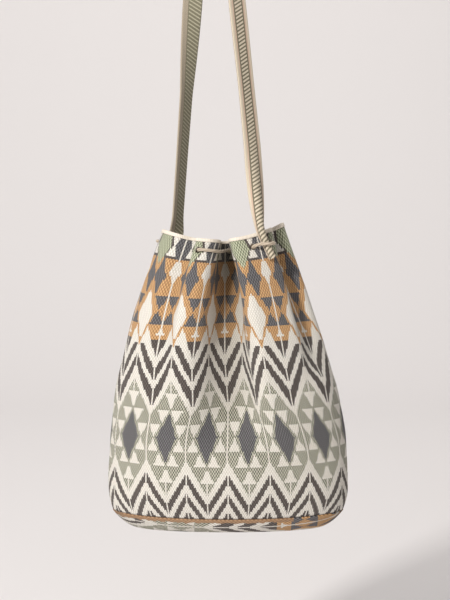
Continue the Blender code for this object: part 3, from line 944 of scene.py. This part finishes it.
@dataclass
class Body:
    """The wall, the base and the binding of the rim."""

    wall: GatheredWall
    in_pleat: int = 30
    per_repeat: int = 14
    rows: int = 96
    crowding: float = 0.45
    dents: float = 1.6 * MM
    dent_levels: tuple = (0.12, 0.93, 0.25)
    dent_sizes: tuple = (16, 37)
    eyelet: float = 7.0 * MM
    eyelet_drop: float = 10.5 * MM
    eyelet_sides: int = 24
    eyelet_cut: float = 5.72 * MM
    binding: float = 0.55 * MM
    binding_drop: float = 2.6 * MM
    binding_ease: float = 0.4 * MM
    clear: float = 0.3 * MM
    base_drop: float = 20.0 * MM
    base_round: float = 33.0 * MM
    base_curve: float = 2.2
    base_share: float = 1 / 2.2
    base_hub: float = 0.004
    base_columns: int = 220
    base_rings: int = 36
    base_start: tuple = (1.47, 139.0 * MM)
    runs: tuple = ((2.14, 3.62), (5.35, 5.81), (7.36, 8.72), (10.58, 12.22), (13.70, 14.46))

    @property
    def eyelet_level(self) -> float:
        """The level of the eyelets and the drawstring."""
        return 1 - self.eyelet_drop / self.wall.height

    def middle(self) -> tuple[np.ndarray, np.ndarray, np.ndarray]:
        """The middle of the cloth as a grid, with its cloth coordinates."""
        across = self.wall.columns(self.in_pleat, self.per_repeat)
        share = np.linspace(0, 1, self.rows)
        levels = share - self.crowding * np.sin(2 * math.pi * share) / (2 * math.pi)
        grid = np.stack([self.wall.section(float(level)).points(across) for level in levels])
        return grid, across, levels

    def dented(self, grid: np.ndarray, levels: np.ndarray) -> np.ndarray:
        """Soft, shallow dents over the full part of the bag."""
        out = grid_normals(grid)
        moved = grid.copy()
        low, high, fade = self.dent_levels
        for row, level in enumerate(levels):
            share = min(1.0, level / low) * min(1.0, max(0.0, (high - level) / fade))
            for column in range(grid.shape[1]):
                place = Vector(grid[row, column])
                push = noise.noise(place * self.dent_sizes[0])
                push += 0.5 * noise.noise(place * self.dent_sizes[1] + Vector((3, 1, 4)))
                moved[row, column] += out[row, column] * push * self.dents * share
        return moved

    def make_wall(self) -> bpy.types.Object:
        """The patterned tube, two faces thick, with its eyelets cut."""
        grid, across, levels = self.middle()
        grid = self.dented(grid, levels)
        out = grid_normals(grid) * (self.wall.cloth / 2)
        ends = np.append(across, self.wall.repeats)
        # How much painted shade each point gets from lying deep in a fold.
        fold_shades = np.stack([self.wall.section(float(level)).fold_shade(ends) for level in levels])
        coordinates = np.stack((*np.meshgrid(ends, levels), fold_shades), 2)
        sheet = Sheeting("body_cloth")
        outer = sheet.strip(grid + out, coordinates)
        inner = sheet.strip(grid - out, coordinates, slot=1, flip=True)
        count, last = len(across), (len(levels) - 1) * len(across)
        sheet.bridge(indices(outer + last, count), indices(inner + last, count), coordinates[-1])
        sheet.bridge(indices(inner, count), indices(outer, count), coordinates[0])
        faces = [WovenPattern().material("patterned_cloth"), InnerFace().material("inner_cloth")]
        made = sheet.build(faces)
        self.cut_eyelets(made)
        return made

    def cut_eyelets(self, made: bpy.types.Object) -> None:
        """Cuts the round eyelets through the cloth."""
        cutters = bpy.data.collections.new("eyelet_cutters")
        work = bmesh.new()
        for place in (end for run in self.runs for end in run):
            points, outs, _ = self.wall.skin(self.eyelet_level, np.array([place]))
            turn = Vector(outs[0]).to_track_quat("Z", "Y").to_matrix().to_4x4()
            turn.translation = Vector(points[0])
            bmesh.ops.create_cone(
                work,
                cap_ends=True,
                segments=self.eyelet_sides,
                radius1=self.eyelet / 2,
                radius2=self.eyelet / 2,
                depth=self.eyelet_cut,
                matrix=turn,
            )
        mesh = bpy.data.meshes.new("eyelet_cutters")
        work.to_mesh(mesh)
        work.free()
        cutter = bpy.data.objects.new("eyelet_cutters", mesh)
        cutters.objects.link(cutter)
        cut = made.modifiers.new("eyelets", "BOOLEAN")
        cut.operand_type = "OBJECT"
        cut.object = cutter
        cut.solver = "EXACT"
        apply_modifiers(made)
        bpy.data.objects.remove(cutter)
        bpy.data.collections.remove(cutters)

    def make_base(self) -> bpy.types.Object:
        """The oval dish of the same cloth, its pattern lying lengthwise."""
        wall = self.wall
        shift, half_width, half_depth = wall.envelope(0.0)
        turn = np.linspace(0, 2 * math.pi, self.base_columns, endpoint=False)
        rings, coordinates = [], []
        seam = wall.rim_z - wall.height - wall.cloth / 2 - self.clear
        for share in np.arange(self.base_rings + 1) / self.base_rings:
            curl, flat = min(share / self.base_share, 1.0), max(0.0, share - self.base_share)
            shrink = max(1 - flat / (1 - self.base_share), self.base_hub)
            x = (half_width - self.base_round * curl) * np.cos(turn) * shrink
            y = (half_depth - self.base_round * curl) * np.sin(turn) * shrink
            z = seam - self.base_drop * (1 - (1 - curl) ** self.base_curve) + 0 * x
            rings.append(np.stack((wall.axis_x + shift + x, wall.axis_y + y, z), 1))
            coordinates.append(self.lengthwise(x, y, half_width))
        grid, plan = np.stack(rings), np.stack(coordinates)
        plan = np.concatenate((plan, plan[:, :1]), 1)
        out = grid_normals(grid) * (wall.cloth / 2)
        if out[0, :, 2].mean() > 0:
            out = -out
        sheet = Sheeting("base_cloth")
        outer = sheet.strip(grid + out, plan, flip=True)
        inner = sheet.strip(grid - out, plan, slot=1)
        count, last = self.base_columns, self.base_rings * self.base_columns
        sheet.bridge(indices(outer, count), indices(inner, count), plan[0])
        sheet.cap(indices(outer + last, count)[::-1], tuple(plan[-1, 0]))
        sheet.cap(indices(inner + last, count), tuple(plan[-1, 0]), slot=1)
        faces = [BasePattern().material("base_pattern"), InnerFace().material("base_inside")]
        return sheet.build(faces)

    def lengthwise(self, x: np.ndarray, y: np.ndarray, half_width: float) -> np.ndarray:
        """Cloth coordinates of the base, its courses running along the bag."""
        chord = np.sqrt(np.clip(1 - (x / half_width) ** 2, 0.15, 1))
        across = y / chord / self.wall.repeat + self.base_start[0]
        along = (x + self.base_start[1]) / self.wall.height
        return np.stack((across, along), 1)

    def make_binding(self) -> bpy.types.Object:
        """The cream tape folded over the rim."""
        across = self.wall.columns(self.in_pleat, self.per_repeat)
        low = 1 - self.binding_drop / self.wall.height
        half = (low + 1) / 2
        near = self.wall.cloth / 2 + self.binding_ease
        far = near + self.binding
        top = self.binding_ease + self.binding
        gap = self.binding_ease / 2
        profile = [(low, far, 0.0), (half, far, 0.0), (1.0, far, 0.0)]
        over = [(1.0, far * math.cos(a), top * math.sin(a)) for a in np.linspace(0, math.pi, 7)]
        profile += over[1:-1]
        profile += [(1.0, -far, 0.0), (half, -far, 0.0), (low, -far, 0.0), (low, -near, 0.0)]
        profile += [(1.0, -near, 0.0), (1.0, -near, gap), (1.0, near, gap)]
        profile += [(1.0, near, 0.0), (low, near, 0.0)]
        skins = {level: self.wall.skin(level, across) for level in (low, half, 1.0)}
        rows = []
        for level, side, above in [*profile, profile[0]]:
            points, out, up = skins[level]
            rows.append(points + out * side + up * above)
        grid = np.stack(rows)
        ends = np.append(across, self.wall.repeats)
        coordinates = np.stack(np.meshgrid(ends, np.linspace(0, 1, len(grid))), 2)
        sheet = Sheeting("rim_tape")
        sheet.strip(grid, coordinates)
        made = sheet.build([RibbedTape().material("rim_tape")])
        weld(made)
        return made


def indices(first: int, count: int) -> range:
    """The indices of a row of vertices."""
    return range(first, first + count)


def grid_normals(grid: np.ndarray) -> np.ndarray:
    """Directions square to a closed grid of rows, pointing out of a bag."""
    run = np.roll(grid, -1, 1) - np.roll(grid, 1, 1)
    up = np.empty_like(grid)
    up[1:-1] = grid[2:] - grid[:-2]
    up[0], up[-1] = grid[1] - grid[0], grid[-1] - grid[-2]
    return unit(np.cross(run, up))


def weld(made: bpy.types.Object) -> None:
    """Joins vertices that lie on each other, and turns the faces outwards."""
    work = bmesh.new()
    work.from_mesh(made.data)
    bmesh.ops.remove_doubles(work, verts=work.verts, dist=1e-6)
    bmesh.ops.recalc_face_normals(work, faces=work.faces)
    work.to_mesh(made.data)
    work.free()


def apply_modifiers(made: bpy.types.Object) -> None:
    """Makes the modified mesh the object's own."""
    bpy.context.view_layer.update()
    graph = bpy.context.evaluated_depsgraph_get()
    mesh = bpy.data.meshes.new_from_object(made.evaluated_get(graph), depsgraph=graph)
    made.modifiers.clear()
    made.data = mesh
    mesh.shade_smooth()


# ------------------------------------------------------- drawstring and strap


@dataclass
class Strap:
    """The long flat band, twisted in both legs, with its folded tail outside.

    The turns say how the band's width is turned, in degrees, by the share of the way
    from the rim to the hook. On the outer leg they also say how far it is folded.
    """

    body: Body
    width: float = STRAP_WIDTH
    thickness: float = 2.2 * MM
    hook_radius: float = 9.0 * MM
    fold_half: float = 3.3 * MM
    sewn: float = 30.0 * MM
    full_fold: float = math.radians(84)
    tail: float = 12.5 * MM
    seat: float = 14.13
    tail_route: tuple = (5.51, 5.58, 5.65)
    tail_turns: tuple = (math.radians(14), math.radians(10), math.radians(8))
    inner_turns: tuple = ((0.05, 60), (0.20, 59), (0.38, 54), (0.62, 10), (0.80, 40), (0.93, 75))
    outer_turns: tuple = (
        (0.05, 18, 58),
        (0.12, 26, 30),
        (0.22, 34, 6),
        (0.38, 38, 0),
        (0.60, 31, 0),
        (0.78, 50, 0),
        (0.92, 75, 0),
    )
    coarse: float = 10.0 * MM
    step: float = 1.6 * MM
    across: int = 22
    crowding: float = 0.35
    round_edge: float = 0.9 * MM
    thin_edge: float = 0.35
    wrap: float = 1.4
    samples: int = 161
    coarse_samples: int = 81

    def profile(
        self, fold: float, stations: np.ndarray, half: np.ndarray | float, samples: int
    ) -> np.ndarray:
        """Plan of the band's section, curled back on both sides of its middle.

        Args:
            fold: the half angle, in radians.
            stations: places across the band, from its middle.
            half: half the thickness, at each station or at all.
            samples: points in the sum that keeps the band's width.

        Returns:
            Rows of place across and place out of the band, round its section.
        """
        angle = fold * np.clip(stations / self.fold_half, -1, 1)
        fine = np.linspace(0, self.width / 2, samples)
        bent = fold * np.clip(fine / self.fold_half, 0, 1)
        middle = (bent[1:] + bent[:-1]) / 2
        u = np.sign(stations) * np.interp(abs(stations), fine, summed(np.cos(middle)) * fine[1])
        n = -np.interp(abs(stations), fine, summed(np.sin(middle)) * fine[1])
        front = np.stack((u + np.sin(angle) * half, n + np.cos(angle) * half), 1)
        rear = np.stack((u - np.sin(angle) * half, n - np.cos(angle) * half), 1)
        return np.concatenate((front, rear[::-1]))

    def square_edged(self) -> np.ndarray:
        """The fully folded section with square edges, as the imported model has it."""
        middle = np.array((-1, -0.5, 0, 0.5, 1)) * self.fold_half
        stations = np.concatenate(([-self.width / 2], middle, [self.width / 2]))
        half = self.thickness / 2
        return self.profile(self.full_fold, stations, half, self.coarse_samples)

    def tail_station(self, level: float, cloth: float, turn: float, gap: float) -> Station:
        """A place for the folded tail that stands this far off the cloth."""
        wall = self.body.wall
        at = np.array([cloth])
        section, lower = wall.section(level), wall.section(level - 0.02)
        _, out = section.frame(at)
        across = np.array((math.cos(turn), math.sin(turn)))
        face = np.array((across[1], -across[0]))
        reach = max(-(u * across + n * face) @ out[0] for u, n in self.square_edged())
        below = lower.outside(at, 0) - section.outside(at, 0)
        flare = below[0, :2] @ out[0] / -below[0, 2]
        stand = gap + reach * math.hypot(1, flare)
        return Station(section.outside(at, stand)[0], turn, self.full_fold)

    def tail_stations(self) -> list[Station]:
        """The tail from the rim, past the drawstring, to its free end."""
        body = self.body
        off = body.wall.cloth / 2 + 2 * body.clear
        levels = (1.0, body.eyelet_level, body.eyelet_level - self.tail / body.wall.height)
        gaps = (off + body.binding + body.binding_ease, off + body.clear, off)
        places = zip(levels, self.tail_route, self.tail_turns, gaps)
        return [self.tail_station(*place) for place in places]

    def over_tail(self, gap: float) -> list[np.ndarray]:
        """Points round the front of the folded tail, where the drawstring crosses it."""
        station = self.tail_stations()[1]
        across = np.array((math.cos(station.turn), math.sin(station.turn), 0))
        face = np.array((across[1], -across[0], 0))
        radius = self.fold_half / self.full_fold
        wide = radius + self.thickness / 2 + gap
        angles = np.linspace(-self.wrap, self.wrap, 9)
        bows = [(math.sin(a) * wide, math.cos(a) * wide - radius) for a in angles]
        back = self.fold_half - self.width / 2 - radius
        outline = [(-wide, back), *bows, (wide, back)]
        return [station.place + across * u + face * n for u, n in outline]

    def inner_leg(self) -> list[Station]:
        """The leg that is sewn inside the mouth."""
        body, wall = self.body, self.body.wall
        inside = wall.cloth / 2 + body.clear + self.thickness / 2
        tape = inside + body.binding_ease + body.binding
        seat = np.array([self.seat])
        found = []
        offs = (inside, inside + body.clear, tape + self.thickness)
        for below, off in zip((self.sewn, self.sewn / 2, 0.0), offs):
            level = 1 - below / wall.height
            _, half_width, half_depth = wall.envelope(level)
            hollow = self.width**2 / 8 * half_width / half_depth**2
            points, outs, _ = wall.skin(level, seat)
            turn = math.atan2(outs[0, 1], outs[0, 0]) - math.pi / 2
            found.append(Station(points[0] - outs[0] * (off + hollow), turn, 0.0))
        return found

    def stations(self) -> tuple[list[Station], list[Station], list[Station]]:
        """The inner leg, the top over the hook and the outer leg."""
        inner = self.inner_leg()
        centre = np.array((0, 0, -self.hook_radius - self.thickness))
        radius = self.hook_radius + self.thickness / 2
        top = []
        for a in np.linspace(0, math.pi, 9):
            place = centre + np.array((-math.cos(a), 0, math.sin(a))) * radius
            top.append(Station(place, math.radians(90), 0.0))
        entry = inner[-1].place
        for share, turn in self.inner_turns:
            place = entry + (top[0].place - entry) * share
            inner.append(Station(place, math.radians(turn), 0.0))
        outer = self.tail_stations()
        start = outer[0].place
        for share, turn, fold in self.outer_turns:
            place = start + (top[-1].place - start) * share
            outer.insert(0, Station(place, math.radians(turn), math.radians(fold)))
        return [*inner, top[0]], top, [top[-1], *outer]

    def spread(self, stations: list[Station]) -> np.ndarray:
        """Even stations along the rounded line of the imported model."""
        keys = as_keys(stations)
        for _ in range(3):
            keys = soften(evenly(keys, self.coarse / 3))
        return keys

    def line(self) -> np.ndarray:
        """Fine stations from the sewn end to the free end."""
        inner, top, outer = self.stations()
        keys = np.concatenate((self.spread(inner), as_keys(top)[1:-1], self.spread(outer)))
        fine = evenly(keys, self.step)
        for _ in range(3):
            fine = soften(fine)
        return fine

    def make(self) -> tuple[bpy.types.Object, float]:
        """The strap and its length."""
        keys = self.line()
        share = np.linspace(-1, 1, self.across)
        crowded = np.sin(share * math.pi / 2) * self.crowding
        places = (crowded + share * (1 - self.crowding)) * self.width / 2
        edge = np.clip((self.width / 2 - abs(places)) / self.round_edge, 0, 1)
        rounded = np.sqrt(edge * (2 - edge))
        half = self.thickness / 2 * (self.thin_edge + (1 - self.thin_edge) * rounded)
        lengths = lengths_along(keys)
        rings = []
        for index, (x, y, z, turn, fold) in enumerate(keys):
            after, before = keys[min(index + 1, len(keys) - 1)], keys[max(index - 1, 0)]
            along = Vector(after[:3] - before[:3]).normalized()
            across = Vector((math.cos(turn), math.sin(turn), 0))
            across = (across - along * across.dot(along)).normalized()
            face = along.cross(across)
            section = self.profile(fold, places, half, self.samples)
            rings.append((x, y, z) + section @ np.array((across, face)))
        grid = np.array(rings)
        sides = np.concatenate((places, places[::-1], places[:1]))
        coordinates = np.stack(np.meshgrid(sides, lengths), 2)
        sheet = Sheeting("strap_band")
        first = sheet.strip(grid, coordinates)
        count = grid.shape[1]
        sheet.slots = [int(index % count >= self.across - 1) for index in range(len(sheet.slots))]
        sheet.cap(indices(first, count)[::-1], (0.0, 0.0))
        sheet.cap(indices(first + (len(keys) - 1) * count, count), (self.width / 2 * 0.9, 0.0))
        band = LadderBand(width=self.width)
        faces = [band.material("strap_face"), band.material("strap_back", reverse=True)]
        made = sheet.build(faces)
        weld(made)
        return made, lengths[-1]


def as_keys(stations: list[Station]) -> np.ndarray:
    """Stations as rows of x, y, z, turn and fold."""
    return np.array([(*s.place, s.turn, s.fold) for s in stations])


def taut(points: Sequence[np.ndarray], side: int) -> list[np.ndarray]:
    """The tight string over plan points: the hull on one side of its two ends."""
    start, end = points[0][:2], points[-1][:2]
    length = np.linalg.norm(end - start)
    along = (end - start) / length
    across = np.array((along[1], -along[0])) * side
    flat = [((p[:2] - start) @ along, (p[:2] - start) @ across, i) for i, p in enumerate(points)]
    middle = sorted(f for f in flat[1:-1] if 0 < f[0] < length and f[1] > 0)
    kept: list[tuple] = []
    for point in [flat[0], *middle, flat[-1]]:
        while len(kept) > 1:
            (u0, w0, _), (u1, w1, _) = kept[-2:]
            if (u1 - u0) * (point[1] - w0) - (w1 - w0) * (point[0] - u0) < 0:
                break
            kept.pop()
        kept.append(point)
    return [points[i] for _, _, i in kept]


@dataclass
class Drawstring:
    """The round cord that gathers the neck, woven through the eyelets."""

    body: Body
    strap: Strap
    thickness: float = 3.6 * MM
    play: float = 1.0 * MM
    coarse: float = 4.0 * MM
    step: float = 0.8 * MM
    strands: int = 3
    lay: float = 9.0 * MM
    sides: int = 24
    groove: float = 0.20

    def route(self) -> list[np.ndarray]:
        """Points along the cord, out and in through the eyelets."""
        wall = self.body.wall
        off = wall.cloth / 2 + self.thickness / 2 + self.play
        stops = [end for run in self.body.runs for end in run]
        found: list[np.ndarray] = []
        for index, start in enumerate(stops):
            last = index + 1 == len(stops)
            end = stops[(index + 1) % len(stops)] + (wall.repeats if last else 0)
            sign = 1 if index % 2 == 0 else -1
            points, out, _ = wall.skin(self.body.eyelet_level, np.linspace(start, end, 90))
            line = points + sign * off * out
            if start < self.strap.tail_route[1] < end and sign > 0:
                over = self.strap.over_tail(self.thickness / 2 + 3 * self.play)
                line = np.concatenate((line[:-1], over, line[-1:]))
            found += [points[0], *taut(line, sign)]
        return found

    def line(self) -> np.ndarray:
        """The cord's even, rounded, closed centreline."""
        points = self.route()
        line = np.array(points + points[:1])
        for _ in range(4):
            line = soften_ring(evenly(line, self.coarse / 3)[:-1])
            line = np.concatenate((line, line[:1]))
        line = evenly(line, self.step)[:-1]
        for _ in range(6):
            line = soften_ring(line)
        return line

    def make(self) -> bpy.types.Object:
        """The cord, with its twisted strands modelled."""
        line = self.line()
        along = unit(np.roll(line, -1, 0) - np.roll(line, 1, 0))
        side = unit(np.cross(along, np.array((0, 0, 1.0))))
        up = np.cross(side, along)
        turns = round(len(line) * self.step / self.lay)
        twist = np.linspace(0, 2 * math.pi * turns / self.strands, len(line), endpoint=False)
        angle = np.linspace(0, 2 * math.pi, self.sides, endpoint=False)
        wave = abs(np.cos((angle[None, :] - twist[:, None]) * self.strands / 2))
        radius = self.thickness / 2 * (1 - self.groove + self.groove * wave)
        grid = line[:, None] + side[:, None] * (radius * np.cos(angle))[..., None]
        grid = grid + up[:, None] * (radius * np.sin(angle))[..., None]
        grid = np.concatenate((grid, grid[:1]))
        wave = np.concatenate((wave, wave[:1]))
        wave = np.concatenate((wave, wave[:, :1]), 1)
        where = np.repeat(np.linspace(0, 1, len(grid))[:, None], self.sides + 1, 1)
        sheet = Sheeting("drawcord")
        sheet.strip(grid, np.stack((where, wave), 2))
        made = sheet.build([TwistedCord().material("drawcord")])
        weld(made)
        return made


# ----------------------------------------------------------------- the studio


class Lamp(NamedTuple):
    """A soft square light: its place, what it points at, its watts, its side and its colour."""

    name: str
    place: tuple
    target: tuple
    power: float
    size: float
    colour: tuple


@dataclass
class Studio:
    """The camera, the soft lights, the pale floor and the wall behind."""

    lens: float = 88.1
    aim: tuple = (14.0 * MM, -38.0 * MM, -489.0 * MM)
    distance: float = 1.6
    look_down: float = math.radians(6)
    floor: float = -0.96
    wall: float = 3.4
    sweep: float = 1.5
    reach: float = 12.0
    lamps: tuple = (
        Lamp("key", (-1.60, -2.40, 0.80), (0.0, -0.04, -0.50), 98, 0.35, (1.0, 0.975, 0.95)),
        Lamp("wash", (0.0, 0.9, 2.4), (0.0, 3.4, -0.4), 52, 2.2, (1.0, 0.975, 0.96)),
        Lamp("fill", (1.5, -1.6, -0.2), (0.0, -0.04, -0.50), 3, 1.4, (1.0, 0.95, 0.93)),
    )
    sky: tuple = (1.0, 0.975, 0.965)
    sky_strength: float = 0.36

    def camera(self) -> None:
        """Places the camera at the photograph's viewing angle."""
        data = bpy.data.cameras.new("camera")
        data.lens = self.lens
        data.sensor_width = 36
        data.clip_start = 0.05
        made = bpy.data.objects.new("camera", data)
        back = Vector((0, -math.cos(self.look_down), math.sin(self.look_down)))
        made.location = Vector(self.aim) + back * self.distance
        made.rotation_euler = (math.pi / 2 - self.look_down, 0, 0)
        bpy.context.scene.collection.objects.link(made)
        bpy.context.scene.camera = made

    def backdrop(self) -> None:
        """A floor that sweeps up into a wall."""
        radius, steps = self.sweep, 32
        profile = [(-self.reach, self.floor)]
        for angle in np.linspace(-math.pi / 2, 0, steps):
            y = self.wall - radius + radius * math.cos(angle)
            profile.append((y, self.floor + radius + radius * math.sin(angle)))
        profile.append((self.wall, 3.0))
        grid = np.array([[(x, y, z) for x in (-self.reach, self.reach)] for y, z in profile])
        flat = np.zeros((len(profile), 3, 2))
        sheet = Sheeting("backdrop")
        sheet.strip(grid, flat, wrap=False)
        made = sheet.build([PlainSurface().material("plain_backdrop")])
        made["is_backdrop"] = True

    def light(self, lamp: Lamp) -> None:
        """Adds one soft area light."""
        data = bpy.data.lights.new(lamp.name, "AREA")
        data.energy, data.size, data.color = lamp.power, lamp.size, lamp.colour
        made = bpy.data.objects.new(lamp.name, data)
        made.location = lamp.place
        towards = Vector(lamp.target) - Vector(lamp.place)
        made.rotation_euler = towards.to_track_quat("-Z", "Y").to_euler()
        bpy.context.scene.collection.objects.link(made)

    def build(self) -> None:
        """Sets up the whole studio."""
        self.camera()
        self.backdrop()
        for lamp in self.lamps:
            self.light(lamp)
        world = bpy.data.worlds.new("studio")
        bpy.context.scene.world = world
        world.use_nodes = True
        background = world.node_tree.nodes["Background"]
        background.inputs[0].default_value = rgba(self.sky)
        background.inputs[1].default_value = self.sky_strength
        bpy.context.scene.view_settings.view_transform = "Standard"


# ------------------------------------------------------------------- assembly


def settle(piece: bpy.types.Object, node: str) -> None:
    """Puts a piece in place of its CAD node, and reports it."""
    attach(piece, "root")
    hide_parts(node)
    log.info("%s stands for %s, with %d faces", piece.name, node, len(piece.data.polygons))


def write_sizes(before: object) -> None:
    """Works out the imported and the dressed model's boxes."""
    bpy.context.view_layer.update()
    boxes = [[list(map(float, corner)) for corner in box] for box in (before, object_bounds())]


def main() -> None:
    """Loads the frame and dresses the bag, piece by piece."""
    logging.basicConfig(level=logging.INFO, format="%(name)s: %(message)s")
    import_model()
    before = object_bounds()
    Studio().build()
    wall = GatheredWall()
    body = Body(wall)
    strap = Strap(body)
    cloth = body.make_wall()
    settle(cloth, "body_wall")
    base = body.make_base()
    settle(base, "base_panel")
    tape = body.make_binding()
    settle(tape, "rim_binding")
    band, length = strap.make()
    settle(band, "strap")
    cord = Drawstring(body, strap).make()
    settle(cord, "drawstring")
    write_sizes(before)


if __name__ == "__main__":
    main()
